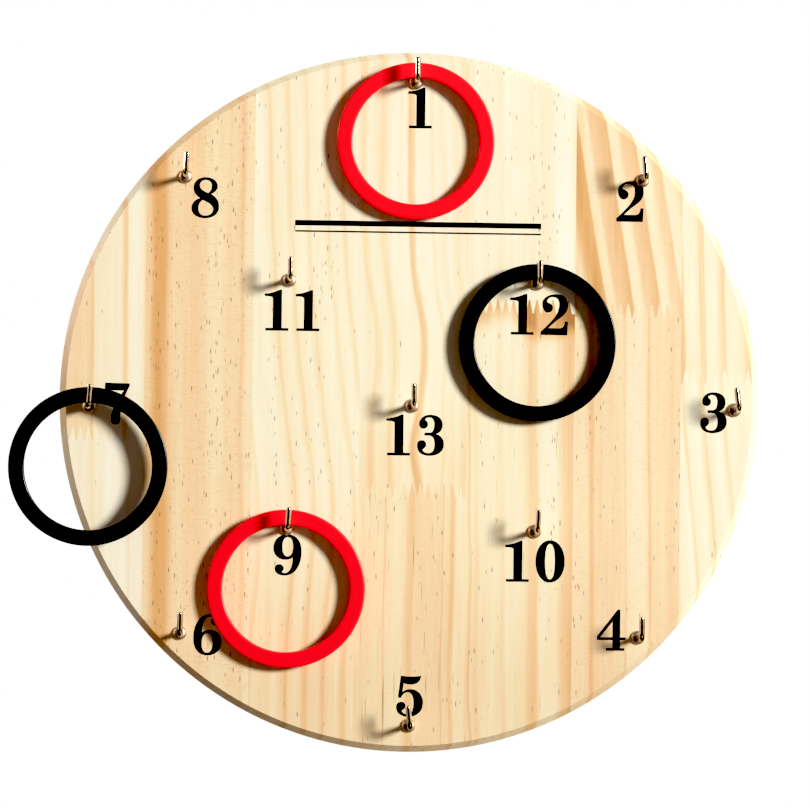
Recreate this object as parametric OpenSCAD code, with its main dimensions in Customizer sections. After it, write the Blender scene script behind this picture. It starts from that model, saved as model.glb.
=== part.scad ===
// Round wall-hung ring board: a disc of edge-glued, finger-jointed staves with thirteen
// square-bend screw hooks, and four flat rings that hang on the hooks.
// Millimetres. +Z is up, the board's face looks along -Y, and the origin is the centre of its back.

/* [Board] */
// Diameter of the board
board_d = 355; // [290:1:450]
// Thickness of the board
board_t = 18; // [15:0.5:28]
// Width of a stave between its glue lines; the two outer staves run on to the rim
stave_w = 54.5; // [44:0.5:66]
// How far the glued staves sit to the right of the board's centre
glue_shift = 1.4; // [-4:0.1:4]
// Chamfer round the front edge
front_chamfer = 3.2; // [0.5:0.1:5]
// Chamfer round the back edge
back_chamfer = 1.2; // [0.5:0.1:3]

/* [Finger joints] */
// Length of a finger along the grain
finger_l = 7; // [4:0.5:12]
// Distance from one finger to the next
finger_pitch = 4; // [3:0.1:8]
// Flat on the tip of a finger
finger_tip = 0.6; // [0.3:0.1:1]

/* [Hooks] */
// Distance from the rim to the outer circle of hooks, before the pattern is shifted
rim_to_hook = 13.2; // [12:0.1:30]
// Radius of the inner circle of hooks
inner_circle_r = 89; // [60:1:100]
// How far the pattern of hooks sits to the right of the board's centre
pattern_x = 0.8; // [-4:0.1:4]
// How far the pattern of hooks sits above the board's centre
pattern_z = -2.2; // [-4:0.1:4]
// Diameter of the hook wire, which is also the thread's outer diameter
wire_d = 2.8; // [2:0.1:3.6]
// From the board's face to the middle of the upright
hook_reach = 18.5; // [14:0.5:26]
// From the middle of the shank to the tip of the upright
hook_rise = 11; // [8:0.5:16]
// Radius of the bend, at the middle of the wire
bend_r = 2.7; // [2:0.1:4]
// Chamfer at the tip of the upright
tip_chamfer = 0.7; // [0.2:0.1:0.9]
// Distance from one thread crest to the next
thread_pitch = 1.2; // [0.8:0.1:2]
// Depth of the thread
thread_depth = 0.4; // [0.2:0.05:0.6]
// Length of the hook's pointed end
point_l = 2; // [1:0.1:3]
// Wood left behind the point of a hook
wood_behind = 4; // [2:0.5:6]

/* [Collars] */
// Diameter of a collar
collar_d = 7; // [5:0.1:10]
// Height of a collar's dome
collar_h = 2.2; // [1:0.1:3]
// Height of a collar's straight rim
collar_rim = 0.4; // [0.2:0.1:0.8]

/* [Rings] */
// Outside diameter of a ring
ring_d = 80; // [60:1:96]
// Width of the band, from the inside to the outside of a ring
ring_band = 8; // [5:0.5:10]
// Thickness of a ring
ring_t = 4.5; // [3:0.5:6]
// Chamfer on a ring's edges
ring_chamfer = 0.6; // [0.2:0.1:1]

/* [Hanger] */
// From the top of the board to the middle of the hanger plate
hanger_drop = 55; // [48:1:80]
// Length of the hanger plate
plate_l = 46; // [42:1:60]
// Width of the hanger plate
plate_w = 16; // [14:0.5:20]
// Thickness of the hanger plate
plate_t = 1.5; // [1:0.1:2]
// Diameter of the keyhole's round entry
entry_d = 9; // [7:0.1:10]
// Width of the keyhole's slot
slot_w = 4.6; // [3:0.1:6]
// From the middle of the entry up to the middle of the slot's closed end
slot_l = 9; // [6:0.5:12]
// Width of the pocket behind the keyhole
pocket_w = 12; // [10:0.5:13]
// Depth of the pocket, from the back of the board
pocket_depth = 8; // [6:0.5:9]
// Distance between the two hanger screws
screw_spacing = 35; // [32:0.5:44]
// Length of a hanger screw
screw_l = 10; // [8:0.5:11]
// Thread diameter of a hanger screw
screw_d = 3; // [2.5:0.1:3.5]
// Head diameter of a hanger screw
screw_head_d = 5.8; // [5:0.1:6.4]

/* [Clearances] */
// Round a thread or a wire in its hole, and round the plate in its recess
fit_gap = 0.05; // [0.02:0.01:0.1]
// Between the point of a screw or a hook and the end of its pilot hole
end_gap = 0.5; // [0.2:0.1:1]
// Between a hanging ring and what it hangs on
rest_gap = 0.3; // [0.2:0.05:0.5]

/* [Hidden] */
$fn = 64;
BOARD_FN = 240;
ARC_STEPS = 8;
SLOT_CUT = [0.8, 0.9];

STAVES = 7;
HOOKS = 13;
OUTER_HOOKS = 8;

// Height of the finger joint in each stave that has one: [stave, height above the board's centre]
FINGER_JOINTS = [[1, -18.5], [4, -45], [5, 49], [6, 47.5], [7, 14.5]];

// The inner hooks' quadrants, hook 9 first
INNER_QUADRANTS = [[-1, -1], [1, -1], [-1, 1], [1, 1]];

// Hooks that were drilled a little off the pattern: [hook, to the right, up]
HOOK_DRIFT = [[5, 0, 2.5], [7, 1, -2.5], [8, 0, -1.5]];

// How far each hook was screwed past or short of upright, hook 1 first, in degrees.
// Positive leans its top towards +X.
HOOK_LEAN = [0, -6, -7, 0, -7, 1, 3.6, 3.8, 3.6, 3, 0, 0, -0.5];

// The hanging rings: [colour, hook, how far it hangs out from the collar]
RINGS = [["red", 1, 0], ["black", 7, 6], ["red", 9, 0], ["black", 12, 0]];
RING_COLOURS = [["red", "firebrick"], ["black", "dimgray"]];

board_r = board_d / 2;
wire_r = wire_d / 2;
outer_circle_r = board_r - rim_to_hook;
thread_l = board_t - wood_behind;
hanger_z = board_r - hanger_drop;
entry_z = hanger_z - slot_l / 2;
slot_top_z = hanger_z + slot_l / 2;
ring_inner_r = ring_d / 2 - ring_band;

function finger_joint(stave) = [for (j = FINGER_JOINTS) if (j[0] == stave) j[1]];
function ring_name(r) = str(r[0], "_ring_on_hook_", r[1]);
function ring_colour(r) = [for (c = RING_COLOURS) if (c[0] == r[0]) c[1]][0];

BLOCKS = [for (s = [1:STAVES])
    each len(finger_joint(s)) > 0 ? [[s, "upper"], [s, "lower"]] : [[s, "whole"]]];
function block_name(b) = b[1] == "whole" ? str("stave_", b[0]) : str("stave_", b[0], "_", b[1]);

// Place of hook n in the pattern, as [x, z]: hooks 1 to 8 run clockwise round the outer circle
function pattern_place(n) =
    n <= OUTER_HOOKS
        ? outer_circle_r * [sin(360 * (n - 1) / OUTER_HOOKS), cos(360 * (n - 1) / OUTER_HOOKS)]
    : n < HOOKS
        ? inner_circle_r * sin(45) * INNER_QUADRANTS[n - OUTER_HOOKS - 1]
    : [0, 0];

function drift(n) = let (d = [for (h = HOOK_DRIFT) if (h[0] == n) [h[1], h[2]]]) len(d) > 0 ? d[0] : [0, 0];

// Place of hook n on the board's face, as [x, z]
function hook_place(n) = [pattern_x, pattern_z] + pattern_place(n) + drift(n);

// Left and right sides of a stave; the outer staves run past the rim, which trims them
function stave_left(s) = s == 1 ? -board_r - 1 : glue_shift + (s - 1 - STAVES / 2) * stave_w;
function stave_right(s) = s == STAVES ? board_r + 1 : glue_shift + (s - STAVES / 2) * stave_w;

// The line of a finger joint from x0 to x1 at height z: tapered fingers with flat tips
function finger_line(x0, x1, z) =
    let (count = floor((x1 - x0) / finger_pitch),
         first = (x0 + x1 - count * finger_pitch) / 2,
         flank = finger_pitch / 2 - finger_tip)
    concat(
        [[x0, z - finger_l / 2]],
        [for (i = [0:count - 1])
            let (x = first + i * finger_pitch + finger_tip / 2)
            each [[x, z - finger_l / 2],
                  [x + flank, z + finger_l / 2],
                  [x + flank + finger_tip, z + finger_l / 2],
                  [x + 2 * flank + finger_tip, z - finger_l / 2]]],
        [[x1, z - finger_l / 2]]
    );

// Outline of a block, as [x, z], before the rim trims it
function block_outline(s, part) =
    let (x0 = stave_left(s), x1 = stave_right(s), far = board_r + 1, joint = finger_joint(s))
    part == "whole" ? [[x0, -far], [x1, -far], [x1, far], [x0, far]]
    : part == "upper" ? concat([[x1, far], [x0, far]], finger_line(x0, x1, joint[0]))
    : concat(finger_line(x0, x1, joint[0]), [[x1, -far], [x0, -far]]);

// Turns a shape that stands on the XY plane so that its +Z points out of the board's face
module face_outwards() {
    rotate([90, 0, 0]) children();
}

// Puts a shape built round the origin, with +Y into the board, at hook n
module at_hook(n) {
    place = hook_place(n);
    translate([place[0], -board_t, place[1]]) children();
}

module board_disc() {
    face_outwards() rotate_extrude($fn = BOARD_FN) polygon([
        [0, 0],
        [board_r - back_chamfer, 0],
        [board_r, back_chamfer],
        [board_r, board_t - front_chamfer],
        [board_r - front_chamfer, board_t],
        [0, board_t]
    ]);
}

module pilot_hole(n) {
    at_hook(n) rotate([-90, 0, 0])
        translate([0, 0, -1]) cylinder(r = wire_r + fit_gap, h = thread_l + end_gap + 1);
}

// A slot's outline between two heights on the board's centre line, with round ends
module upright_slot(z_low, z_high, width) {
    translate([0, z_low]) circle(d = width);
    translate([0, z_high]) circle(d = width);
    translate([-width / 2, z_low]) square([width, z_high - z_low]);
}

module plate_outline(gap) {
    reach = (plate_l - plate_w) / 2;
    upright_slot(hanger_z - reach, hanger_z + reach, plate_w + 2 * gap);
}

// The recess for the hanger plate, the pocket behind its keyhole and its screws' pilot holes
module hanger_recess() {
    face_outwards() {
        translate([0, 0, -1]) linear_extrude(plate_t + 1) plate_outline(fit_gap);
        translate([0, 0, -1]) linear_extrude(pocket_depth + 1)
            upright_slot(entry_z, slot_top_z, pocket_w);
        for (side = [-1, 1])
            translate([0, hanger_z + side * screw_spacing / 2, 0])
                cylinder(d = screw_d + 2 * fit_gap, h = screw_l + end_gap);
    }
}

module stave_block(s, part) {
    color("burlywood") difference() {
        intersection() {
            board_disc();
            face_outwards() translate([0, 0, -1])
                linear_extrude(board_t + 2) polygon(block_outline(s, part));
        }
        for (n = [1:HOOKS])
            if (hook_place(n)[0] > stave_left(s) - wire_d && hook_place(n)[0] < stave_right(s) + wire_d)
                pilot_hole(n);
        if (stave_left(s) < plate_w && stave_right(s) > -plate_w)
            hanger_recess();
    }
}

// Profile of a hook's straight part, as [radius, distance out from the board's face]
function shank_profile() =
    let (root_r = wire_r - thread_depth,
         out = hook_reach - bend_r,
         turns = floor((thread_l - point_l) / thread_pitch))
    concat(
        [[0, out], [wire_r, out], [wire_r, 0]],
        [for (i = [0:turns - 1])
            each [[root_r, -(i + 0.5) * thread_pitch], [wire_r, -(i + 1) * thread_pitch]]],
        [[root_r, -turns * thread_pitch - thread_depth], [root_r, -thread_l + point_l / 2], [0, -thread_l]]
    );

module hook(n) {
    color("goldenrod") at_hook(n) rotate([0, HOOK_LEAN[n - 1], 0]) {
        face_outwards() rotate_extrude() polygon(shank_profile());
        translate([0, bend_r - hook_reach, bend_r]) rotate([0, 90, 180])
            rotate_extrude(angle = 90) translate([bend_r, 0]) circle(r = wire_r);
        translate([0, -hook_reach, bend_r]) rotate_extrude() polygon([
            [0, 0],
            [wire_r, 0],
            [wire_r, hook_rise - bend_r - tip_chamfer],
            [wire_r - tip_chamfer, hook_rise - bend_r],
            [0, hook_rise - bend_r]
        ]);
    }
}

module collar(n) {
    bore_r = wire_r + fit_gap;
    color("darkgoldenrod") at_hook(n) face_outwards() rotate_extrude() polygon(concat(
        [[bore_r, 0], [collar_d / 2, 0]],
        [for (i = [0:ARC_STEPS])
            [bore_r + (collar_d / 2 - bore_r) * cos(90 * i / ARC_STEPS),
             collar_rim + (collar_h - collar_rim) * sin(90 * i / ARC_STEPS)]]
    ));
}

// A flat ring that hangs with the inside of its band on the shank of its hook
module ring(r) {
    outer_r = ring_d / 2;
    c = ring_chamfer;
    color(ring_colour(r)) at_hook(r[1])
        translate([0, -collar_h - rest_gap - r[2], wire_r + rest_gap - ring_inner_r])
            face_outwards() rotate_extrude($fn = BOARD_FN) polygon([
                [ring_inner_r + c, 0],
                [outer_r - c, 0],
                [outer_r, c],
                [outer_r, ring_t - c],
                [outer_r - c, ring_t],
                [ring_inner_r + c, ring_t],
                [ring_inner_r, ring_t - c],
                [ring_inner_r, c]
            ]);
}

// Screw-head countersink, its wide end at the back of the board
module countersink(gap) {
    cylinder(d1 = screw_head_d + 2 * gap, d2 = screw_d + 2 * gap, h = plate_t);
}

module hanger_plate() {
    color("silver") face_outwards() difference() {
        linear_extrude(plate_t) plate_outline(0);
        translate([0, entry_z, -1]) cylinder(d = entry_d, h = plate_t + 2);
        translate([0, 0, -1]) linear_extrude(plate_t + 2)
            upright_slot(entry_z, slot_top_z, slot_w);
        for (side = [-1, 1])
            translate([0, hanger_z + side * screw_spacing / 2, 0]) countersink(fit_gap);
    }
}

module hanger_screws() {
    color("gray") face_outwards() for (side = [-1, 1])
        translate([0, hanger_z + side * screw_spacing / 2, 0]) difference() {
            union() {
                countersink(0);
                translate([0, 0, plate_t]) cylinder(d = screw_d, h = screw_l - plate_t - point_l);
                translate([0, 0, screw_l - point_l]) cylinder(d1 = screw_d, d2 = 0.4, h = point_l);
            }
            translate([-screw_head_d, -SLOT_CUT[0] / 2, -1])
                cube([2 * screw_head_d, SLOT_CUT[0], SLOT_CUT[1] + 1]);
        }
}

for (b = BLOCKS)
    stave_block(b[0], b[1]);
for (n = [1:HOOKS])
    hook(n);
for (n = [1:HOOKS])
    collar(n);
for (r = RINGS)
    ring(r);
hanger_plate();
hanger_screws();
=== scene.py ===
"""Looks of a wall-hung hook and ring game: pine staves, plated hooks, rubber rings and ink numerals.

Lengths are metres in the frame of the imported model: +Z is up, the board's face looks along -Y and the
origin is the centre of the board's back.
"""
import math

import bpy
import numpy as np
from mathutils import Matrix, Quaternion, Vector


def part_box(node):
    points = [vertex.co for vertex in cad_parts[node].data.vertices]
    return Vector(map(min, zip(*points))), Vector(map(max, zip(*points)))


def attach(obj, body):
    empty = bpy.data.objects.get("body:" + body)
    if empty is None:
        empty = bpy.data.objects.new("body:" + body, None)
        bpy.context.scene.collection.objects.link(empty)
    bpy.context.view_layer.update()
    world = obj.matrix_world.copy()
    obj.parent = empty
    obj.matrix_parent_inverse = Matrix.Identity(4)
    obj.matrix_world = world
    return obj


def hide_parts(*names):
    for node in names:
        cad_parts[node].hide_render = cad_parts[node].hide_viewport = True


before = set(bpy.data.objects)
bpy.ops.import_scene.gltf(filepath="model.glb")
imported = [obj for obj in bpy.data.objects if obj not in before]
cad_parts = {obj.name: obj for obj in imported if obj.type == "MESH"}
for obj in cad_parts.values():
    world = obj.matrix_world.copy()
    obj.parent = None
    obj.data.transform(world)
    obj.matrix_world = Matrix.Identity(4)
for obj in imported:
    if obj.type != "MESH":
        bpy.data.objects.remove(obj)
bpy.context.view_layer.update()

MM = 0.001
BOARD = "board"

# Hooks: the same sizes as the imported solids
HOOKS = range(1, 14)
WIRE_R = 1.4 * MM
HOOK_REACH = 18.5 * MM
HOOK_RISE = 11 * MM
BEND_R = 2.7 * MM
THREAD_L = 14 * MM
THREAD_PITCH = 1.2 * MM
THREAD_DEPTH = 0.4 * MM
THREAD_RUNOUT = 1.5 * MM
THREAD_STEEPNESS = 1.3  # of the flanks against a plain triangle wave; more than 1 leaves a flat root
POINT_L = 2 * MM
TIP_ROUND = 0.9 * MM
WIRE_SIDES = 32
COLLAR_BORE_R = WIRE_R + 0.05 * MM
COLLAR_RIM = 0.4 * MM
COLLAR_LIP_R = 0.22 * MM
COLLAR_FOOT = 0.12 * MM
COLLAR_SIDES = 56

# Rings
RINGS = {1: "red", 7: "black", 9: "red", 12: "black"}
RING_W = 8 * MM
RING_EDGE_R = 0.7 * MM
RING_SLACK = 0.12 * MM
RING_FACE_SLACK = 0.03 * MM
RING_SIDES = 180
SEAM_H = 0.07 * MM
SEAM_W = 0.35 * MM
# Waves of a ring out of round: (waves per turn, height, start in radians per hook number)
RING_WAVES = [(2, 0.06 * MM, 1), (5, 0.035 * MM, 2)]

# Ink
INK_T = 0.08 * MM
NUMERAL_H = 20.7 * MM
RULE_HALF_L = 62.5 * MM
RULE_X = 1.5 * MM
RULE_Z = 90 * MM
# Bars of the printed rule: (middle above RULE_Z, thickness)
RULE_BARS = [(0, 2.6 * MM), (-4.2 * MM, 0.7 * MM)]

face_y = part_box("stave_2")[0].y


# ---------------------------------------------------------------- meshes

def closed_grid(rows, cols, wrap=False):
    """Quads of a grid whose columns close on themselves, and whose rows do too if wrap is set."""
    r = np.arange(rows if wrap else rows - 1)[:, None]
    c = np.arange(cols)[None, :]
    below, right = (r + 1) % rows, (c + 1) % cols
    quads = [r * cols + c, r * cols + right, below * cols + right, below * cols + c]
    return np.stack(quads, -1).reshape(-1, 4)


def outward(points, faces):
    """Turns every face round if the solid's signed volume, a sum of fan tetrahedra, is negative."""
    volume = 0.0
    for f in faces:
        for k in range(1, f.shape[1] - 1):
            a, b, c = points[f[:, 0]], points[f[:, k]], points[f[:, k + 1]]
            volume += np.einsum("ij,ij->i", a, np.cross(b, c)).sum()
    return faces if volume > 0 else [f[:, ::-1] for f in faces]


def make_piece(name, points, faces, finish, slot_name, body, nodes=(), sharp=40):
    """Makes a solid with smooth faces and crisp edges past the given angle in degrees."""
    mesh = bpy.data.meshes.new(name)
    solid = outward(points, faces)
    mesh.from_pydata(points.tolist(), [], [f.tolist() for group in solid for f in group])
    mesh.polygons.foreach_set("use_smooth", np.ones(len(mesh.polygons), bool))
    mesh.set_sharp_from_angle(angle=math.radians(sharp))
    mesh.materials.append(finish)
    mesh.update()
    piece = bpy.data.objects.new(name, mesh)
    bpy.context.scene.collection.objects.link(piece)
    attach(piece, body)
    if nodes:
        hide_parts(*nodes)


# ---------------------------------------------------------------- materials

class Graph:
    """Adds shader nodes to a tree; a socket or a plain value can feed any input."""

    def __init__(self, tree):
        self.tree = tree

    def node(self, kind, inputs=(), **settings):
        n = self.tree.nodes.new("ShaderNode" + kind)
        for key, value in settings.items():
            setattr(n, key, value)
        for key, value in dict(inputs).items():
            self.feed(n.inputs[key], value)
        return n

    def feed(self, socket, value):
        if isinstance(value, bpy.types.NodeSocket):
            self.tree.links.new(value, socket)
        else:
            socket.default_value = value

    def math(self, operation, *values, clamp=False):
        n = self.node("Math", operation=operation, use_clamp=clamp)
        for socket, value in zip(n.inputs, values):
            self.feed(socket, value)
        return n.outputs[0]

    def ramp(self, value, low, high, to_low=0.0, to_high=1.0):
        """Smooth step from to_low to to_high as the value goes from low to high."""
        inputs = {"Value": value, "From Min": low, "From Max": high,
                  "To Min": to_low, "To Max": to_high}
        return self.node("MapRange", inputs, interpolation_type="SMOOTHSTEP").outputs["Result"]

    def stretch(self, vector, scale):
        return self.node("Mapping", {"Vector": vector, "Scale": scale}).outputs["Vector"]

    def noise(self, vector, scale=1.0, detail=2.0, roughness=0.5, shift=0.0):
        """Noise about zero, from about -0.5 to 0.5."""
        inputs = {"Vector": vector, "Scale": scale, "Detail": detail,
                  "Roughness": roughness, "W": shift}
        n = self.node("TexNoise", inputs, noise_dimensions="4D")
        return self.math("SUBTRACT", n.outputs["Fac"], 0.5)

    def bell(self, *offsets):
        """A bell curve: e to the power of minus the sum of the squared offsets."""
        squares = [self.math("MULTIPLY", offset, offset) for offset in offsets]
        total = squares[0]
        for square in squares[1:]:
            total = self.math("ADD", total, square)
        return self.math("POWER", math.e, self.math("MULTIPLY", total, -1.0))

    def mix(self, share, a, b, blend="MIX"):
        n = self.node("Mix", data_type="RGBA", blend_type=blend)
        self.feed(n.inputs["Factor"], share)
        for socket, value in zip([s for s in n.inputs if s.type == "RGBA"], (a, b)):
            self.feed(socket, value)
        return [s for s in n.outputs if s.type == "RGBA"][0]


def new_material(name, **shader):
    """A material with one principled shader whose plain values are set straight on it."""
    m = bpy.data.materials.new(name)
    m.use_nodes = True
    surface = next(n for n in m.node_tree.nodes if n.type == "BSDF_PRINCIPLED")
    for key, value in shader.items():
        surface.inputs[key.replace("_", " ")].default_value = value
    return m, Graph(m.node_tree), surface


def lay(g, surface, colour, roughness, height, strength, depth):
    """Feeds a shader its colour and roughness, and a bump whose depth is in metres."""
    bump = g.node("Bump", {"Strength": strength, "Distance": depth, "Height": height})
    g.feed(surface.inputs["Base Color"], colour)
    g.feed(surface.inputs["Roughness"], roughness)
    g.feed(surface.inputs["Normal"], bump.outputs[0])


def rgb(*display):
    """Linear colour of a display colour given from 0 to 255, by the sRGB curve."""
    shares = [v / 255 for v in display]
    return tuple(v / 12.92 if v <= 0.04045 else ((v + 0.055) / 1.055) ** 2.4 for v in shares) + (1.0,)


# How a block's grain can run, in metres: Slant leans it either side of the height Level, Sweep bends it
# round a knot at Sweep Z, Eye parts it round a centre, and Wander is the share of noise in it
PINE_INPUTS = {
    "Left": 0.0, "Level": 0.0, "Slant": 0.0, "Sweep": 0.0, "Sweep Z": 0.0, "Sweep H": 0.07,
    "Eye": 0.0, "Eye X": 0.03, "Eye Z": 0.0, "Wander": 1.0,
}
# How a block can be shaded: Change darkens it from one height to another, Heart darkens it above
# Heart Z, and Flecks, Streaks and Rays are the shares of resin canals, resin threads and rays
FINISH_INPUTS = {
    "Tone": 0.3, "Change": 0.0, "Change From": -0.04, "Change To": -0.15,
    "Heart": 0.0, "Heart Z": 0.0, "Flecks": 0.3, "Streaks": 0.0, "Rays": 0.04, "Seed": 0.0,
}
STAVE_W = 54.5 * MM
GRAIN_MARGIN = 20 * MM
GRAIN_SPAN = STAVE_W + 2 * GRAIN_MARGIN
SLOW_WANDER = 6 * MM
FINE_WANDER = 1.6 * MM
RING_TILT = 0.45
EYE_W = 9.5 * MM
EYE_H = 17 * MM
# Display colours of pine from sapwood to the darkest late wood, each at its tone
PALETTE = [(-0.2, (253, 250, 234)), (0.0, (249, 244, 217)), (0.3, (247, 231, 191)),
           (0.62, (243, 208, 161)), (1.0, (228, 178, 117)), (1.4, (184, 130, 78))]
TONE_LOW, TONE_HIGH = PALETTE[0][0], PALETTE[-1][0]
TONE_SPAN = TONE_HIGH - TONE_LOW
CANAL_BROWN = (112, 62, 24)
RAY_TAN = (204, 150, 102)


def new_group(name, inputs, outputs):
    tree = bpy.data.node_groups.new(name, "ShaderNodeTree")
    for key, value in inputs.items():
        socket = tree.interface.new_socket(key, in_out="INPUT", socket_type="NodeSocketFloat")
        socket.default_value = value
    for key, kind in outputs.items():
        tree.interface.new_socket(key, in_out="OUTPUT", socket_type="NodeSocket" + kind)
    g = Graph(tree)
    return tree, g, tree.nodes.new("NodeGroupInput").outputs, tree.nodes.new("NodeGroupOutput").inputs


def grain_group():
    """Where a point lies across a block's grain: 0 to 1 over the block's width and a margin each side.

    The distance from the block's left edge is bent by six things: a slant along the grain, a sweep
    round a buried knot (a bell curve of height), a tilt of the growth rings through the thickness,
    slow noise, fine noise, and an eye, where the rings part to both sides of a centre by a bell curve
    of the distance from it.
    """
    tree, g, given, result = new_group("pine_grain", PINE_INPUTS, {"Across": "Float"})
    place = g.node("TexCoord").outputs["Object"]
    xyz = g.node("SeparateXYZ", {0: place}).outputs
    up = g.math("DIVIDE", g.math("SUBTRACT", xyz[2], given["Sweep Z"]), given["Sweep H"])
    slant = g.math("MULTIPLY", g.math("SUBTRACT", xyz[2], given["Level"]), given["Slant"])
    shift = g.math("ADD", slant, g.math("MULTIPLY", g.bell(up), given["Sweep"]))
    slow = g.noise(g.stretch(place, (16, 16, 11)), detail=1.0, shift=given["Left"])
    fine = g.noise(g.stretch(place, (90, 90, 34)), detail=2.0, shift=given["Left"])
    bent = g.math("ADD", g.math("MULTIPLY", slow, SLOW_WANDER), g.math("MULTIPLY", fine, FINE_WANDER))
    tilt = g.math("MULTIPLY", g.math("SUBTRACT", xyz[1], face_y), RING_TILT)
    across = g.math("SUBTRACT", g.math("SUBTRACT", xyz[0], given["Left"]), shift)
    across = g.math("ADD", g.math("ADD", across, tilt), g.math("MULTIPLY", bent, given["Wander"]))
    aside = g.math("SUBTRACT", across, given["Eye X"])
    above = g.math("SUBTRACT", xyz[2], given["Eye Z"])
    near = g.bell(g.math("DIVIDE", aside, EYE_W), g.math("DIVIDE", above, EYE_H))
    parting = g.math("MULTIPLY", near, given["Eye"])
    across = g.math("SUBTRACT", across, g.math("MULTIPLY", aside, parting))
    across = g.math("DIVIDE", g.math("ADD", across, GRAIN_MARGIN), GRAIN_SPAN)
    g.feed(result["Across"], across)
    return tree


def pine_tone(g, place, given, fibre):
    """A block's tone with its patches, long streaks, fibres and changes of tone along its length."""
    height = g.node("SeparateXYZ", {0: place}).outputs[2]
    patches = g.noise(g.stretch(place, (40, 40, 9)), detail=3.0, shift=given["Seed"])
    streaks = g.noise(g.stretch(place, (420, 420, 14)), detail=3.0, roughness=0.6, shift=given["Seed"])
    along = g.ramp(height, given["Change From"], given["Change To"])
    uneven = g.math("MULTIPLY", patches, 0.05)
    above = g.math("ADD", g.math("SUBTRACT", height, given["Heart Z"]), uneven)
    heart = g.ramp(above, -0.006, 0.007)
    parts = [g.math("MULTIPLY", along, given["Change"]), g.math("MULTIPLY", heart, given["Heart"]),
             g.math("MULTIPLY", patches, 0.3), g.math("MULTIPLY", streaks, 0.42),
             g.math("MULTIPLY", fibre, 0.2)]
    tone = given["Tone"]
    for part in parts:
        tone = g.math("ADD", tone, part)
    return tone


def resin_marks(g, place, given, fibre):
    """How dark a point is with resin, from 0 to 1: short canals and long threads.

    Canals are cells much longer than wide, kept only where their own random number falls below a share
    that rises and falls in columns. Threads are the peaks of a noise drawn out along the grain.
    """
    seed = given["Seed"]
    cells = {"Vector": g.stretch(place, (900, 900, 180)), "Scale": 1.0, "W": seed, "Randomness": 1.0}
    canals = g.node("TexVoronoi", cells, voronoi_dimensions="4D")
    chosen = g.node("SeparateColor", {0: canals.outputs["Color"]}).outputs[0]
    columns = g.noise(g.stretch(place, (150, 150, 5)), detail=1.0, shift=g.math("ADD", seed, 3.7))
    share = g.math("MULTIPLY", given["Flecks"], g.ramp(columns, -0.1, 0.22, 0.15, 1.6))
    canal = g.math("MULTIPLY", g.ramp(canals.outputs["Distance"], 0.14, 0.36, 1.0, 0.0),
                   g.ramp(g.math("SUBTRACT", share, chosen), 0.0, 0.1), clamp=True)
    peaks = g.noise(g.stretch(place, (1300, 1300, 27)), detail=2.0, shift=seed)
    limit = g.math("SUBTRACT", 0.24, g.math("MULTIPLY", given["Streaks"], 0.3))
    thread = g.math("MULTIPLY", g.ramp(g.math("SUBTRACT", peaks, limit), 0.0, 0.05),
                    g.ramp(fibre, -0.25, 0.1))
    thread = g.math("MULTIPLY", thread, g.ramp(given["Streaks"], 0.0, 0.1))
    return g.math("MAXIMUM", canal, thread)


def finish_group():
    """Colour, roughness and relief of pine of a given tone.

    The palette turns the tone into a colour, dark resin and short pale-brown rays across the grain are
    laid on it, and the board gets a little darker towards its foot.
    """
    outputs = {"Color": "Color", "Rough": "Float", "Height": "Float"}
    tree, g, given, result = new_group("pine_finish", FINISH_INPUTS, outputs)
    place = g.node("TexCoord").outputs["Object"]
    fibre = g.noise(g.stretch(place, (1700, 1700, 70)), detail=2.0, shift=given["Seed"])
    tone = pine_tone(g, place, given, fibre)
    palette = g.node("ValToRGB", {0: g.math("DIVIDE", g.math("SUBTRACT", tone, TONE_LOW), TONE_SPAN)})
    set_stops(palette.color_ramp, [((t - TONE_LOW) / TONE_SPAN, rgb(*c)) for t, c in PALETTE])
    resin = resin_marks(g, place, given, fibre)
    colour = g.mix(g.math("MULTIPLY", resin, 0.66), palette.outputs["Color"], rgb(*CANAL_BROWN))
    rays = g.noise(g.stretch(place, (420, 420, 2100)), detail=2.0, shift=given["Seed"])
    colour = g.mix(g.math("MULTIPLY", g.ramp(rays, 0.0, 0.22), given["Rays"]), colour, rgb(*RAY_TAN))
    # Darker towards the bottom: the colour is multiplied down to 0.94 from 5 cm to 17 cm below the
    # board's middle
    tone_ramp = g.ramp(g.node("SeparateXYZ", {0: place}).outputs[2], -0.05, -0.17, 1.0, 0.94)
    foot_darkening = g.node("CombineColor", {0: tone_ramp, 1: tone_ramp, 2: tone_ramp}).outputs[0]
    relief = g.math("ADD", g.math("MULTIPLY", tone, 0.3), g.math("MULTIPLY", fibre, 0.5))
    g.feed(result["Color"], g.mix(1.0, colour, foot_darkening, "MULTIPLY"))
    g.feed(result["Rough"], g.math("ADD", 0.46, g.math("MULTIPLY", fibre, 0.25)))
    g.feed(result["Height"], g.math("SUBTRACT", relief, g.math("MULTIPLY", resin, 0.9)))
    return tree


def set_stops(ramp, stops):
    """Replaces a colour ramp's stops by (position, colour) pairs in rising order."""
    while len(ramp.elements) > 1:
        ramp.elements.remove(ramp.elements[-1])
    for k, (position, colour) in enumerate(stops):
        stop = ramp.elements[0] if k == 0 else ramp.elements.new(position)
        stop.position = position
        stop.color = colour


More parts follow.
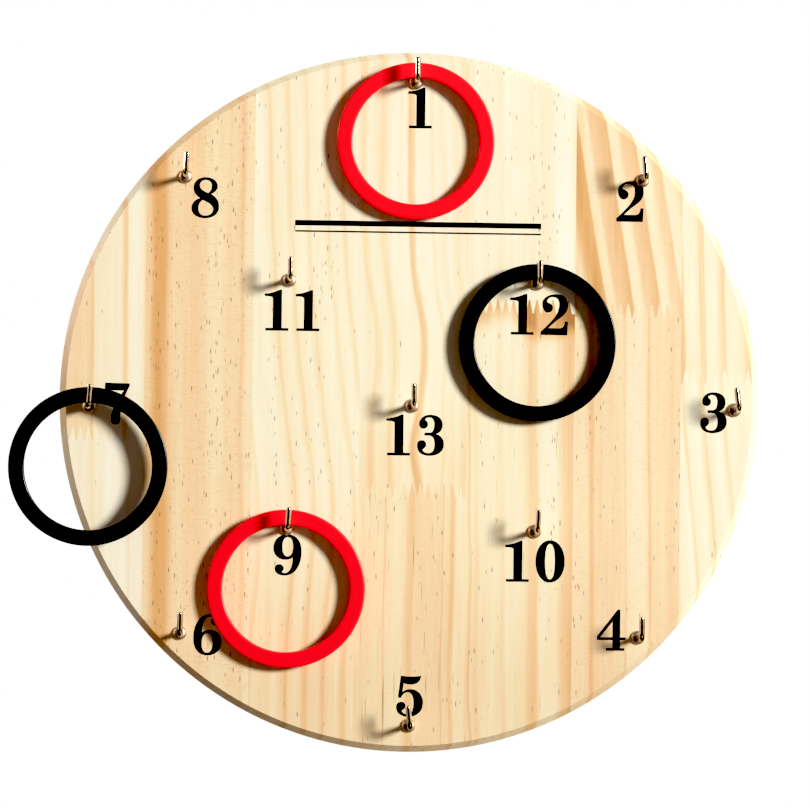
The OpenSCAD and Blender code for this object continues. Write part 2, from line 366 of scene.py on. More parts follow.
def pine_material(name, groups, left, seed, grain, tint, settings):
    """Lacquered pine with one block's own growth rings: (mm from its left edge, tone) pairs."""
    m, g, surface = new_material(name, Coat_Weight=0.15, Coat_Roughness=0.32)
    bend = g.node("Group", node_tree=groups[0])
    wood = g.node("Group", node_tree=groups[1])
    bend.inputs["Left"].default_value = left
    wood.inputs["Seed"].default_value = seed
    for key, value in settings.items():
        node = bend if key in PINE_INPUTS else wood
        node.inputs[key].default_value = value
    rings = g.node("ValToRGB", {0: bend.outputs["Across"]})
    places = [(x * MM + GRAIN_MARGIN) / GRAIN_SPAN for x, tone in grain]
    greys = [(tone - TONE_LOW) / TONE_SPAN for x, tone in grain]
    set_stops(rings.color_ramp, [(at, (grey, grey, grey, 1.0)) for at, grey in zip(places, greys)])
    level = g.node("SeparateColor", {0: rings.outputs["Color"]}).outputs[0]
    g.feed(wood.inputs["Tone"], g.math("ADD", g.math("MULTIPLY", level, TONE_SPAN), TONE_LOW))
    colour = g.mix(1.0, wood.outputs["Color"], tint + (1.0,), "MULTIPLY")
    lay(g, surface, colour, wood.outputs["Rough"], wood.outputs["Height"], 0.35, 0.12 * MM)
    return m


# One entry per block: how its grain runs, then its growth rings, (mm from its left edge, tone) pairs
BLOCKS = {
    "stave_1_upper": (
        {"Level": 0.036, "Slant": -0.012, "Flecks": 0.1, "Wander": 0.4},
        [(0, .4), (24.9, .45), (26.9, .5), (27.9, .65), (28.9, .2), (36, .14), (42, .1),
         (44.2, .52), (45.4, .5), (46.7, .0), (50.3, -.02), (53.3, .1), (54.5, .35)]),
    "stave_1_lower": (
        {"Level": -0.05, "Slant": -0.012, "Flecks": 0.25, "Wander": 0.5},
        [(0, .1), (27, .12), (29.5, .28), (31, .05), (34, .16), (36, .0), (42, -.05), (45, -.05),
         (47, .2), (48.5, .03), (51, .0), (54.5, .15)]),
    "stave_2": (
        {"Level": 0.05, "Slant": -0.008, "Flecks": 1.25, "Rays": 0.24, "Wander": 0.6},
        [(0, .42), (1.8, .5), (4.3, .85), (5.8, .97), (9.9, .9), (12.4, .58), (14.5, .42),
         (18, .42), (22, .48), (27.2, .5), (31.2, .42), (34.8, .32), (39.8, .36), (43.4, .46),
         (46, .42), (47.7, .48), (49, .62), (50.5, .38), (52, .28), (54.5, .3)]),
    "stave_3": (
        {"Level": 0.051, "Slant": -0.035, "Sweep": 0.009, "Sweep Z": -0.05, "Sweep H": 0.075,
         "Flecks": 0.4, "Rays": 0.05, "Change": 0.33},
        [(-14, .3), (-13, .05), (-8, .3), (-7, .05), (0, .1), (4, .0), (8.2, .2), (9.7, .45),
         (11.2, .15), (15.8, .05), (19.3, .42), (20.9, .12), (25.4, .05), (28.5, .38), (30, .1),
         (36, .02), (39.2, .32), (40.7, .06), (44.8, .05), (47.3, .4), (48.8, .1), (55, .05),
         (57, .35), (58, .1), (66, .3), (67, .05)]),
    "stave_4_upper": (
        {"Level": 0.051, "Slant": -0.03, "Sweep": 0.006, "Sweep Z": 0.032, "Sweep H": 0.032,
         "Flecks": 0.1, "Wander": 1.6, "Eye": 0.74, "Eye X": 0.031, "Eye Z": -0.025, "Change": 0.2,
         "Change From": 0.01, "Change To": -0.04},
        [(-10, .3), (-9, .05), (0, .1), (1.9, .38), (3.5, .28), (5.4, .04), (9.5, .1), (12, .36),
         (13.5, .26), (15.6, .02), (19.6, .0), (24.7, .05), (26.5, .64), (28.3, .54), (30, .03),
         (35.9, .03), (37.9, .27), (39.6, .03), (44, .2), (46, .04), (51, .25), (52.5, .08),
         (58, .3), (60, .05)]),
    "stave_4_lower": (
        {"Level": -0.08, "Slant": -0.004, "Flecks": 0.25, "Streaks": 0.34, "Rays": 0.1,
         "Wander": 0.8, "Change": 0.1},
        [(0, .3), (1.5, .4), (8, .28), (12.5, .3), (13.2, .62), (13.8, .32), (18, .22), (23, .28),
         (26, .58), (28, .54), (29, .38), (34, .42), (40, .38), (42.8, .42), (43.3, .64), (44, .36),
         (46.5, .38), (47.5, .64), (49, .52), (50, .2), (54.5, .28)]),
    "stave_5_upper": (
        {"Level": 0.11, "Slant": -0.01, "Flecks": 0.5, "Wander": 0.5},
        [(0, .1), (2.5, .16), (4, .02), (10, .12), (12, .02), (16.8, .14), (19, .0), (25, .02),
         (35.5, .1), (39.6, .16), (43.7, .04), (45.7, -.1), (51.8, -.14), (52.8, -.02),
         (54.5, .05)]),
    "stave_5_lower": (
        {"Level": -0.014, "Slant": -0.016, "Flecks": 0.4, "Streaks": 0.1, "Wander": 1.0,
         "Change": 0.22, "Heart": 0.7, "Heart Z": 0.036},
        [(-6, .3), (-5, .1), (0, .25), (1.5, .55), (2.5, .2), (5, .32), (6.5, .15), (14, .1),
         (18, .28), (20, .1), (28, .15), (32, .5), (35, .45), (37, .08), (44, .1), (47, .42),
         (52, .68), (54.2, .75), (54.5, .95)]),
    "stave_6_upper": (
        {"Level": 0.102, "Slant": -0.17, "Flecks": 0.05, "Rays": 0.12, "Wander": 0.7},
        [(-19, .3), (-12, .7), (-8, .8), (-7, .3), (-3, .35), (0, .85), (3, 1.03), (7, .95),
         (8, .35), (11.5, .28), (13, .6), (17, .74), (21, .86), (22, .2), (25.5, .2), (28, .55),
         (33, .72), (34.8, .8), (35.6, .2), (39, .22), (42, .5), (46, .62), (46.8, .18), (51, .18),
         (54, .45), (58, .6), (58.8, .2), (66, .5)]),
    "stave_6_lower": (
        {"Level": -0.025, "Slant": -0.012, "Flecks": 0.6, "Rays": 0.16, "Wander": 0.35,
         "Change": 0.14},
        [(0, .26), (3, .3), (7, .34), (8.5, .68), (9.8, .62), (10.8, .38), (18, .4), (25, .36),
         (26.5, .52), (27.5, .26), (35, .18), (37.5, .26), (38.8, .62), (39.6, .36), (45, .32),
         (50, .42), (54.5, .38)]),
    "stave_7_upper": (
        {"Level": 0.036, "Slant": -0.04, "Flecks": 0.05, "Wander": 0.7},
        [(-3, .2), (0, .7), (1.5, .6), (2.5, .08), (7, .08), (9.5, .25), (10.5, .58), (11.5, .38),
         (12.3, .62), (13, .08), (18, .08), (20, .35), (22.5, .58), (23.5, .08), (29, .08),
         (32, .3), (35, .62), (36, .1), (42, .3)]),
    "stave_7_lower": (
        {"Level": -0.04, "Slant": -0.08, "Flecks": 0.12, "Wander": 0.8},
        [(-12, .3), (-11, .05), (-4, .3), (-3, .05), (0, .05), (4, .0), (5.5, .42), (6.8, .06),
         (12, -.02), (15.5, .44), (16.5, .06), (22, -.03), (25.5, .38), (26.8, .04), (34, .08)]),
}
PLAIN = (1.0, 1.0, 1.0)
TINTS = {"stave_1_upper": (1.0, 0.99, 1.0), "stave_1_lower": (1.0, 0.99, 1.03),
         "stave_2": (1.0, 0.985, 0.98), "stave_6_lower": (1.0, 0.975, 0.97)}


def coat(node, finish):
    """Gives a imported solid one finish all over."""
    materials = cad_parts[node].data.materials
    materials.clear()
    materials.append(finish)


def dress_staves():
    groups = grain_group(), finish_group()
    for k, (name, (settings, grain)) in enumerate(BLOCKS.items()):
        number = int(name.split("_")[1])
        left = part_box("stave_2")[0].x + (number - 2) * STAVE_W
        tint = TINTS.get(name, PLAIN)
        finish = pine_material("pine_" + name, groups, left, 1.7 * k, grain, tint, settings)
        coat(name, finish)


def plated_metal(name, colour, roughness):
    """Bright plating: fine scratches in the drawn metal and a faint mottle in its gloss."""
    m, g, surface = new_material(name, Metallic=1.0)
    place = g.node("TexCoord").outputs["Object"]
    mottle = g.noise(place, scale=420.0, detail=3.0)
    scratch = g.noise(g.stretch(place, (2600, 500, 2600)), detail=2.0)
    tint = g.mix(g.ramp(mottle, -0.25, 0.25), rgb(*[v * 0.9 for v in colour]), rgb(*colour))
    rough = g.math("ADD", roughness, g.math("MULTIPLY", mottle, 0.12))
    lay(g, surface, tint, rough, scratch, 0.12, 0.03 * MM)
    return m


def rubber(name, colour, dusty, roughness):
    """Moulded rubber: a fine orange-peel skin, and a paler bloom in soft patches."""
    m, g, surface = new_material(name, Specular_IOR_Level=0.5)
    place = g.node("TexCoord").outputs["Object"]
    patches = g.noise(place, scale=90.0, detail=4.0)
    skin = g.noise(place, scale=1900.0, detail=2.0)
    bloom = g.ramp(patches, -0.25, 0.35, 0.0, 0.5)
    rough = g.math("ADD", roughness, g.math("MULTIPLY", skin, 0.12))
    lay(g, surface, g.mix(bloom, rgb(*colour), rgb(*dusty)), rough, skin, 0.22, 0.05 * MM)
    return m


def ink_material():
    """Screen-printed black ink that lets the grain's relief through."""
    m, g, surface = new_material("ink", Specular_IOR_Level=0.25)
    place = g.node("TexCoord").outputs["Object"]
    grain = g.noise(g.stretch(place, (1500, 1500, 40)), detail=2.0)
    # The ink is worn paler where the grain's relief stands up
    tone_ramp = g.ramp(grain, 0.1, 0.35, 0.0, 0.3)
    rough = g.math("ADD", 0.34, g.math("MULTIPLY", grain, 0.3))
    lay(g, surface, g.mix(tone_ramp, rgb(4, 4, 5), rgb(20, 18, 17)), rough, grain, 0.2, 0.05 * MM)
    return m


# ---------------------------------------------------------------- hooks and collars

def centre_of(node):
    low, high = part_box(node)
    return (low + high) / 2


def hook_lean(n, place):
    """Angle from upright, towards +X, of the line from the shank's middle to the tip's middle."""
    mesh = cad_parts[f"hook_{n}"].data
    points = np.empty(len(mesh.vertices) * 3)
    mesh.vertices.foreach_get("co", points)
    points = points.reshape(-1, 3)
    tip = points[points[:, 2] > points[:, 2].max() - 0.2 * MM].mean(0)
    return math.atan2(tip[0] - place.x, tip[2] - place.z)


def hook_form(lean, place):
    """A wire of round section along a straight line, a quarter circle and a second straight line.

    With s the distance along the wire and t the angle round it, the radius is the wire's own. It
    shrinks to nothing along the point, follows a triangle wave of s / pitch - t / 360 in the thread,
    and rounds off at the tip as a quarter ellipse does.
    """
    straight = THREAD_L + HOOK_REACH - BEND_R
    bend = BEND_R * math.pi / 2
    total = straight + bend + HOOK_RISE - BEND_R
    s = np.concatenate([
        np.linspace(0.1 * MM, THREAD_L, 96, endpoint=False),
        np.linspace(THREAD_L, straight, 10, endpoint=False),
        np.linspace(straight, straight + bend, 20, endpoint=False),
        np.linspace(straight + bend, total - TIP_ROUND, 8, endpoint=False),
        total - TIP_ROUND * (1 - np.sin(np.linspace(0, math.pi / 2, 9)[:-1])),
    ])[:, None]
    t = np.linspace(0, 2 * math.pi, WIRE_SIDES, endpoint=False)[None, :]
    turn = np.clip((s - straight) / BEND_R, 0, math.pi / 2)
    centre = np.concatenate([
        np.zeros_like(s),
        THREAD_L - np.minimum(s, straight) - BEND_R * np.sin(turn),
        BEND_R * (1 - np.cos(turn)) + np.maximum(s - straight - bend, 0),
    ], 1)
    wave = 1 - np.abs(2 * np.mod(s / THREAD_PITCH - t / (2 * math.pi), 1) - 1) * THREAD_STEEPNESS
    threaded = np.clip((THREAD_L - s) / THREAD_RUNOUT, 0, 1)
    radius = WIRE_R - THREAD_DEPTH * threaded * (1 - np.clip(wave, 0, 1))
    radius = radius * np.clip(s / POINT_L, 0, 1)
    left = np.clip((total - s) / TIP_ROUND, 0, 1)
    radius = radius * np.sqrt(1 - (1 - left) ** 2)
    side = np.array([1.0, 0, 0])
    upward = np.concatenate([np.zeros_like(s), np.sin(turn), np.cos(turn)], 1)
    spoke = np.cos(t)[..., None] * side + np.sin(t)[..., None] * upward[:, None, :]
    ring = centre[:, None, :] + radius[..., None] * spoke
    ends = np.array([[0, THREAD_L, 0], [0, -HOOK_REACH, HOOK_RISE]])
    points = np.concatenate([ring.reshape(-1, 3), ends])
    c, d = math.cos(lean), math.sin(lean)
    points = points @ np.array([[c, 0, -d], [0, 1, 0], [d, 0, c]])
    points += np.array([place.x, face_y, place.z])
    rows = len(s)
    k = np.arange(WIRE_SIDES)
    after = (k + 1) % WIRE_SIDES
    last_row = (rows - 1) * WIRE_SIDES
    point, tip = np.full((2, WIRE_SIDES), rows * WIRE_SIDES) + [[0], [1]]
    caps = [np.stack([point, after, k], -1), np.stack([tip, last_row + k, last_row + after], -1)]
    return points, [closed_grid(rows, WIRE_SIDES)] + caps


def turned_form(profile, place, around):
    """A closed outline of (radius, distance out from the board) points, turned about a line along Y."""
    t = np.linspace(0, 2 * math.pi, around, endpoint=False)[None, :]
    r, out = profile[:, 0:1], profile[:, 1:2]
    x, y, z = place
    points = np.stack([x + r * np.cos(t), y - out + 0 * t, z + r * np.sin(t)], -1)
    return points.reshape(-1, 3), [closed_grid(len(profile), around, wrap=True)]


def collar_profile(radius, height):
    """A flat foot, a short rim, an elliptical dome, a rolled lip round the wire and a straight bore."""
    a = np.radians(np.linspace(0, 84, 15))
    dome = np.stack([COLLAR_BORE_R + (radius - COLLAR_BORE_R) * np.cos(a),
                     COLLAR_RIM + (height - COLLAR_RIM) * np.sin(a)], 1)
    b = np.radians(np.linspace(60, 180, 6))
    lip = np.stack([COLLAR_BORE_R + COLLAR_LIP_R * (1 + np.cos(b)),
                    height - COLLAR_LIP_R * (1 - np.sin(b))], 1)
    rim = np.array([[COLLAR_BORE_R, 0], [radius - COLLAR_FOOT, 0], [radius, COLLAR_FOOT]])
    return np.concatenate([rim, dome, lip])


def hooks_and_collars():
    wire = plated_metal("plated_wire", (240, 226, 198), 0.12)
    dome = plated_metal("plated_collar", (222, 194, 172), 0.5)
    for n in HOOKS:
        low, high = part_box(f"collar_{n}")
        place = (low + high) / 2
        lean = hook_lean(n, place)
        make_piece(f"bent_hook_{n}", *hook_form(lean, place), wire, "hook_wire", BOARD, [f"hook_{n}"])
        outline = collar_profile((high.x - low.x) / 2, high.y - low.y)
        turned = turned_form(outline, (place.x, face_y, place.z), COLLAR_SIDES)
        make_piece(f"domed_collar_{n}", *turned, dome, "collar_metal", BOARD, [f"collar_{n}"])


# ---------------------------------------------------------------- rings

def ring_form(low, high, n):
    """A rounded rectangle turned about the ring's axis, a touch out of round, seamed on both edges.

    The section's corners are quarter circles. The whole section moves in and out by two slow sine
    waves round the ring, and its middle bulges outwards by a narrow bell curve where the mould
    halves met.
    """
    centre = (low + high) / 2
    outer = (high.x - low.x) / 2 - RING_SLACK
    inner = outer - RING_W + 2 * RING_SLACK
    half_t = (high.y - low.y) / 2 - RING_FACE_SLACK
    half_w, mid = (outer - inner) / 2, (outer + inner) / 2
    a = np.radians(np.linspace(0, 90, 7))
    corner = RING_EDGE_R * np.stack([np.cos(a), np.sin(a)], 1)
    quarter = corner + [half_w - RING_EDGE_R, half_t - RING_EDGE_R]
    side = np.array([[half_w, y] for y in np.linspace(-1, 1, 9)[1:-1] * (half_t - RING_EDGE_R)])
    flat = np.array([[x, half_t] for x in (0.55 * half_w, 0.0, -0.55 * half_w)])
    section = np.concatenate([side, quarter, flat, (quarter * [-1, 1])[::-1], -side, quarter * [-1, -1],
                              -flat, (quarter * [1, -1])[::-1]])
    seam = SEAM_H * np.exp(-(section[:, 1] / SEAM_W) ** 2) * np.sign(section[:, 0])
    on_edge = np.abs(section[:, 0]) > half_w - 0.01 * MM
    section[:, 0] += np.where(on_edge, seam, 0)
    t = np.linspace(0, 2 * math.pi, RING_SIDES, endpoint=False)[None, :]
    r = mid + section[:, 0:1] + sum(h * np.sin(waves * t + start * n) for waves, h, start in RING_WAVES)
    y = centre.y + section[:, 1:2] + 0 * t
    points = np.stack([centre.x + r * np.cos(t), y, centre.z + r * np.sin(t)], -1)
    return points.reshape(-1, 3), [closed_grid(len(section), RING_SIDES, wrap=True)]


def rings():
    finishes = {
        "red": rubber("red_rubber", (247, 59, 66), (249, 61, 69), 0.3),
        "black": rubber("black_rubber", (4, 4, 5), (15, 14, 15), 0.26),
    }
    for n, colour in RINGS.items():
        node = f"{colour}_ring_on_hook_{n}"
        make_piece(f"{colour}_rubber_ring_{n}", *ring_form(*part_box(node), n), finishes[colour],
                   colour + "_rubber", node, [node], sharp=60)


# ---------------------------------------------------------------- numerals

# Outlines in hundredths of the numeral's height. Each starts at a point and goes on by straight lines
# (x, y) or by curves (first handle, second handle, end). The number before them is the numeral's width.
NUMERALS = {
    "0": (68, [
        [(34, 102), (55, 102, 70, 79, 70, 50), (70, 21, 55, -1, 34, -1), (13, -1, -1, 21, -1, 50),
         (-1, 79, 13, 102, 34, 102)],
        [(34, 94), (26, 94, 21.5, 80, 21.5, 50), (21.5, 20, 26, 6, 34, 6),
         (42, 6, 46.5, 20, 46.5, 50), (46.5, 80, 42, 94, 34, 94)]]),
    "1": (58, [
        [(0, 90), (0, 84.5), (14, 84.5, 20.5, 84, 20.5, 78), (20.5, 6), (2.5, 6), (2.5, 0), (58, 0),
         (58, 6), (41.5, 6), (41.5, 100), (37, 100), (27, 95, 14, 90.5, 0, 90)]]),
    "2": (67, [
        [(6, 86), (1, 79, 3.5, 55, 17, 55), (25, 55, 29, 61, 29, 67), (29, 74, 23, 77, 17, 79),
         (10, 81, 17, 95, 31, 93.5), (42, 92.5, 45.5, 84, 45.5, 74), (45.5, 55, 34, 42, 20, 27),
         (12, 18.5, 6, 13, 0, 8), (0, 0), (65, 0), (66.5, 33), (59.5, 33),
         (58, 20, 54, 16.5, 44, 16.5), (18, 16.5), (26, 25, 36, 34, 46, 41),
         (60, 51, 66.5, 60, 66.5, 74), (66.5, 91, 54, 100, 37, 100), (22, 100, 11, 94, 6, 86)]]),
    "3": (65, [
        [(8, 88), (2, 80, 4, 66.5, 15, 66.5), (22, 66.5, 25.5, 72, 25.5, 77),
         (25.5, 83, 21, 85, 19, 87), (17, 90, 22, 94, 29, 94), (38, 94, 42, 87, 42, 77),
         (42, 63, 38, 56, 30, 56), (20.5, 56), (16.5, 56, 16.5, 49.5, 20.5, 49.5), (30, 49.5),
         (39, 49.5, 43, 40, 43, 28), (43, 13, 38, 6, 27, 6), (19, 6, 13, 10, 13, 14),
         (13, 17, 21.5, 19, 21.5, 27), (21.5, 33, 17.5, 37.5, 11, 37.5), (4.5, 37.5, 0, 33, 0, 25),
         (0, 9, 12, 0, 29, 0), (52, 0, 65, 11, 65, 28), (65, 42, 57, 50, 45.5, 53),
         (56, 57, 61.5, 65, 61.5, 76), (61.5, 91, 50, 100, 31, 100), (20, 100, 12, 95, 8, 88)]]),
    "4": (70, [
        [(0, 35), (0, 26), (38, 26), (38, 6), (22, 6), (22, 0), (67, 0), (67, 6), (56, 6), (56, 26),
         (70, 26), (70, 32.5), (56, 32.5), (56, 100), (50, 100)],
        [(38, 72), (38, 32.5), (7, 32.5)]]),
    "5": (65, [
        [(11, 100), (4.5, 50), (4, 46, 10, 44, 12, 48), (15, 56, 21, 60, 28, 60),
         (38, 60, 42.5, 48, 42.5, 33), (42.5, 16, 38, 6, 27, 6), (19, 6, 14, 10, 13, 13.5),
         (13, 17, 22.5, 18, 22.5, 26), (22.5, 32, 18, 36, 12, 36), (5, 36, 0, 31, 0, 23),
         (0, 9, 12, 0, 29, 0), (50, 0, 65, 13, 65, 34), (65, 54, 51, 67, 34, 67),
         (26, 67, 19, 64, 14.5, 59), (17, 82), (24, 80, 30, 79, 36, 79), (49, 79, 58, 86, 60, 100),
         (45, 97, 27, 97, 11, 100)]]),
    "7": (61, [
        [(-1.6, 72), (4.5, 72), (5.5, 80, 10, 83, 18, 83), (46, 83), (33, 62, 15, 40, 15, 12),
         (15, 4, 19, 0, 26, 0), (33, 0, 37, 4, 37, 11), (37, 40, 44, 66, 59.5, 95), (59.5, 100),
         (0.4, 101)]]),
    "8": (67, [
        [(34, 100), (51, 100, 62.5, 91, 62.5, 79), (62.5, 70, 56, 63, 46.5, 59.5),
         (59, 52, 66.5, 43, 66.5, 28), (66.5, 11, 52, 0, 33, 0), (13, 0, 0, 10, 0, 24),
         (0, 36, 8, 45, 21, 49), (10, 56, 4.5, 64, 4.5, 74), (4.5, 90, 17, 100, 34, 100)],
        [(34, 94), (25, 94, 19, 88, 19, 80), (19, 71, 28, 66, 40, 61), (46, 66, 49.5, 71, 49.5, 79),
         (49.5, 88, 43, 94, 34, 94)],
        [(33, 6), (45, 6, 53, 13, 53, 22), (53, 32, 43, 38, 27, 45), (20, 40, 16, 34, 16, 25),
         (16, 13, 22, 6, 33, 6)]]),
    "9": (68, [
        [(34, 100), (55, 100, 68, 84, 68, 58), (68, 24, 52, 0, 28, 0), (12, 0, 3.5, 7, 3.5, 17),
         (3.5, 23, 8, 27, 14, 27), (20.5, 27, 25, 22.5, 25, 16.5), (25, 11, 19, 10.5, 21, 7.5),
         (22.5, 5.5, 25, 5.5, 28, 5.5), (40, 5.5, 47.5, 20, 47.5, 45),
         (42, 40.5, 36, 38.5, 30, 38.5), (12, 38.5, 0, 50, 0, 67), (0, 86, 13, 100, 34, 100)],
        [(34.5, 94), (25, 94, 21, 84, 21, 70), (21, 55, 26, 46, 34, 46), (43, 46, 48, 55, 48, 70),
         (48, 85, 44, 94, 34.5, 94)]]),
}
LETTER_GAP = 18

# Middle of each numeral from the middle of its hook, to the right and up
NUMERAL_PLACES = {
    1: (2.3, -12.8), 2: (-6.2, -10.6), 3: (-10.6, -1.5), 4: (-13.5, 3.6), 5: (0.5, 14.8),
    6: (14, -0.8), 7: (14.3, 1.6), 8: (10.2, -10.6), 9: (0.7, -13.3), 10: (0.2, -15.2),
    11: (1.5, -15.3), 12: (1.2, -15.6), 13: (1.7, -14.8),
}


def half_turn(width, loops):
    """A numeral turned upside down, as a 9 becomes a 6: every x from the width and every y from 100."""
    def turned(part):
        return tuple((width if k % 2 == 0 else 100) - v for k, v in enumerate(part))

    return width, [[turned(part) for part in loop] for loop in loops]


NUMERALS["6"] = half_turn(*NUMERALS["9"])


def outline_points(loop, steps=10):
    """Points along a closed outline: the corners, and even steps of t along each cubic curve."""
    points = [np.array([loop[0]], float)]
    for part in loop[1:]:
        start = points[-1][-1]
        if len(part) == 2:
            points.append(np.array([part], float))
            continue
        a, b, end = np.array(part, float).reshape(3, 2)
        t = np.linspace(0, 1, steps + 1)[1:, None]
        rest = 1 - t
        points.append(rest ** 3 * start + 3 * rest ** 2 * t * a + 3 * rest * t ** 2 * b + t ** 3 * end)
    joined = np.concatenate(points)
    return joined[:-1] if np.allclose(joined[0], joined[-1]) else joined


def ink_solid(name, loops, ink):
    """Fills flat outlines, (x, z) in metres, and raises them off the board by the ink's thickness."""
    flat = bpy.data.curves.new(name, "CURVE")
    flat.dimensions = "2D"
    flat.fill_mode = "BOTH"
    flat.extrude = INK_T / 2
    for loop in loops:
        spline = flat.splines.new("POLY")
        spline.points.add(len(loop) - 1)
        flat_points = np.column_stack([loop, np.zeros(len(loop)), np.ones(len(loop))])
        spline.points.foreach_set("co", flat_points.ravel())
        spline.use_cyclic_u = True
    carrier = bpy.data.objects.new(name, flat)
    mesh = bpy.data.meshes.new_from_object(carrier)
    bpy.data.objects.remove(carrier)
    co = np.empty(len(mesh.vertices) * 3)
    mesh.vertices.foreach_get("co", co)
    co = co.reshape(-1, 3)
    upright = np.column_stack([co[:, 0], face_y - INK_T / 2 - co[:, 2], co[:, 1]])
    points, welded = np.unique(np.round(upright, 8), axis=0, return_inverse=True)
    welded = welded.ravel()
    faces = [[welded[v] for v in p.vertices] for p in mesh.polygons]
    groups = [np.array([f for f in faces if len(f) == k]) for k in sorted({len(f) for f in faces})]
    make_piece(name, points, groups, ink, "pine", BOARD)


def numeral_loops(text, middle):
    """Outlines of a number's figures set side by side, centred on a place on the board."""
    scale = NUMERAL_H / 100
    width = sum(NUMERALS[c][0] for c in text) + LETTER_GAP * (len(text) - 1)
    at = -width / 2
    loops = []
    for c in text:
        step, outlines = NUMERALS[c]
        loops += [(outline_points(o) + [at, -50]) * scale + middle for o in outlines]
        at += step + LETTER_GAP
    return loops


def printing():
    ink = ink_material()
    for n in HOOKS:
        hook = centre_of(f"collar_{n}")
        middle = np.array([hook.x, hook.z]) + np.array(NUMERAL_PLACES[n]) * MM
        ink_solid(f"numeral_{n}", numeral_loops(str(n), middle), ink)
    ink_solid("printed_rule", rule_loops(centre_of("stave_4_upper").x + RULE_X, RULE_Z), ink)


def rule_loops(x, z):
    """A plain heavy rule with a thin one under it."""
    corners = np.array([[-1, -1], [1, -1], [1, 1], [-1, 1]])
    return [corners * [RULE_HALF_L, h / 2] + [x, z + dz] for dz, h in RULE_BARS]


# ---------------------------------------------------------------- hanger

def dress_hanger():
    """Zinc-plated steel with the faint cloudy grain of the plating."""
    m, g, surface = new_material("zinc_steel", Metallic=1.0)
    place = g.node("TexCoord").outputs["Object"]
    cloud = g.node("TexVoronoi", {"Vector": place, "Scale": 420.0}).outputs["Color"]
    spangle = g.node("SeparateColor", {0: cloud}).outputs[0]
    brushed = g.noise(g.stretch(place, (3000, 200, 200)), detail=2.0)
    g.feed(surface.inputs["Base Color"], g.mix(spangle, rgb(176, 178, 178), rgb(206, 207, 203)))
    g.feed(surface.inputs["Roughness"], g.math("ADD", 0.36, g.math("MULTIPLY", brushed, 0.2)))
    for name in ("hanger_plate", "hanger_screws"):
        coat(name, m)


# ---------------------------------------------------------------- studio

AIM = Vector((-2.8 * MM, face_y, -1.8 * MM))
CAMERA_AZIMUTH, CAMERA_RISE, CAMERA_ROLL = -3.0, -1.5, 0.67
CAMERA_DISTANCE = 2.1
IMAGE_SIDE_SEEN = 0.4107
SENSOR = 36.0
# Lights: name, azimuth and rise in degrees, distance and width in metres, watts, colour, and whether
# the light falls on matt surfaces too or is only mirrored
LIGHTS = [
    ("key", 46, 13.5, 8, 1.9, 850, (1.0, 1.0, 0.985), True),
    ("left_panel", -71, 5, 1.5, 1.3, 2.4, (1.0, 0.95, 0.86), False),
    ("right_panel", 71, 5, 1.5, 1.3, 2.8, (1.0, 0.95, 0.86), False),
    ("low_panel", 40, -50, 1.5, 0.8, 1.2, (1.0, 0.93, 0.82), False),
    ("side_left", -93, 20, 1.8, 0.7, 14, (1.0, 0.88, 0.76), True),
    ("back_left", 225, 25, 2.2, 1.4, 36, (1.0, 0.97, 0.94), True),
    ("back_right", 140, 20, 2.2, 1.2, 13, (1.0, 1.0, 1.0), True),
]
FILL_COLOUR = (1.0, 0.76, 0.7, 1.0)
FILL = 0.17
FILL_SEEN_IN_GLOSS = 0.055
BLACK_LEVEL = (0.05, 0.05, 0.05)
WHITE = (1.0, 1.0, 1.0, 1.0)
FLOOR_Z = -0.34
FLOOR_R = 0.55
FLOOR_SIDES = 96


def direction(azimuth, rise):
    """Unit vector from the board at an azimuth from -Y, positive towards +X, and a rise, in degrees."""
    a, e = math.radians(azimuth), math.radians(rise)
    return Vector((math.sin(a) * math.cos(e), -math.cos(a) * math.cos(e), math.sin(e)))


def camera():
    data = bpy.data.cameras.new("camera")
    data.sensor_width = SENSOR
    data.lens = SENSOR * CAMERA_DISTANCE / IMAGE_SIDE_SEEN
    data.clip_start, data.clip_end = 0.05, 50
    view = bpy.data.objects.new("camera", data)
    back = direction(CAMERA_AZIMUTH, CAMERA_RISE)
    view.location = AIM + back * CAMERA_DISTANCE
    view.rotation_mode = "QUATERNION"
    roll = Quaternion((0, 0, 1), math.radians(CAMERA_ROLL))
    view.rotation_quaternion = (-back).to_track_quat("-Z", "Y") @ roll
    bpy.context.scene.collection.objects.link(view)
    bpy.context.scene.camera = view


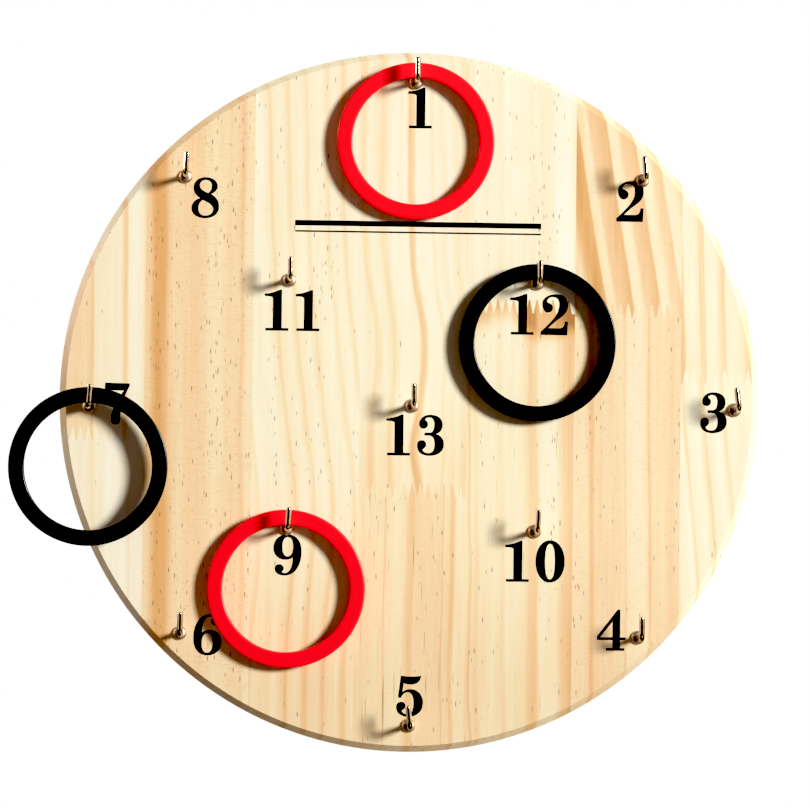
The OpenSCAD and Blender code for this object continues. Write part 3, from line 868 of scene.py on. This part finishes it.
def soft_light(name, azimuth, rise, distance, width, watts, colour, lights_matt):
    data = bpy.data.lights.new(name, "AREA")
    data.shape = "DISK"
    data.size = width
    data.energy = watts
    data.color = colour
    lamp = bpy.data.objects.new(name, data)
    towards = direction(azimuth, rise)
    lamp.location = towards * distance
    lamp.rotation_mode = "QUATERNION"
    lamp.rotation_quaternion = towards.to_track_quat("Z", "Y")
    lamp.visible_diffuse = lights_matt
    bpy.context.scene.collection.objects.link(lamp)


def backdrop():
    """A white backdrop that gives the board only a weak warm fill, and less still in its gloss."""
    world = bpy.data.worlds.new("studio")
    world.use_nodes = True
    g = Graph(world.node_tree)
    path = g.node("LightPath").outputs
    less = g.math("MULTIPLY", path["Is Glossy Ray"], FILL - FILL_SEEN_IN_GLOSS)
    lit = g.node("Background", {"Color": FILL_COLOUR, "Strength": g.math("SUBTRACT", FILL, less)})
    seen = g.node("Background", {"Color": WHITE, "Strength": 1.0})
    inputs = {0: path["Is Camera Ray"], 1: lit.outputs[0], 2: seen.outputs[0]}
    output = next(n for n in g.tree.nodes if n.type == "OUTPUT_WORLD")
    g.feed(output.inputs["Surface"], g.node("MixShader", inputs).outputs[0])
    bpy.context.scene.world = world


def develop():
    """The plain display curve, with a black level that deepens the shadows a little."""
    view = bpy.context.scene.view_settings
    view.view_transform = "Standard"
    view.use_curve_mapping = True
    view.curve_mapping.black_level = BLACK_LEVEL


def floor():
    """A pale round floor below the board, with a faint tooth."""
    t = np.linspace(0, 2 * math.pi, FLOOR_SIDES, endpoint=False)
    points = np.column_stack([FLOOR_R * np.cos(t), FLOOR_R * np.sin(t), np.full(FLOOR_SIDES, FLOOR_Z)])
    mesh = bpy.data.meshes.new("floor")
    mesh.from_pydata(points.tolist(), [], [list(range(FLOOR_SIDES))])
    m, g, surface = new_material("floor_paint", Roughness=0.8)
    tooth = g.noise(g.node("TexCoord").outputs["Object"], scale=30.0, detail=3.0)
    paint = g.mix(g.ramp(tooth, -0.3, 0.3), (0.86, 0.86, 0.85, 1), (0.9, 0.9, 0.89, 1))
    g.feed(surface.inputs["Base Color"], paint)
    mesh.materials.append(m)
    ground = bpy.data.objects.new("floor", mesh)
    ground.visible_glossy = False
    ground.visible_diffuse = False
    bpy.context.scene.collection.objects.link(ground)


camera()
for light in LIGHTS:
    soft_light(*light)
backdrop()
develop()
floor()
dress_staves()
dress_hanger()
hooks_and_collars()
rings()
printing()
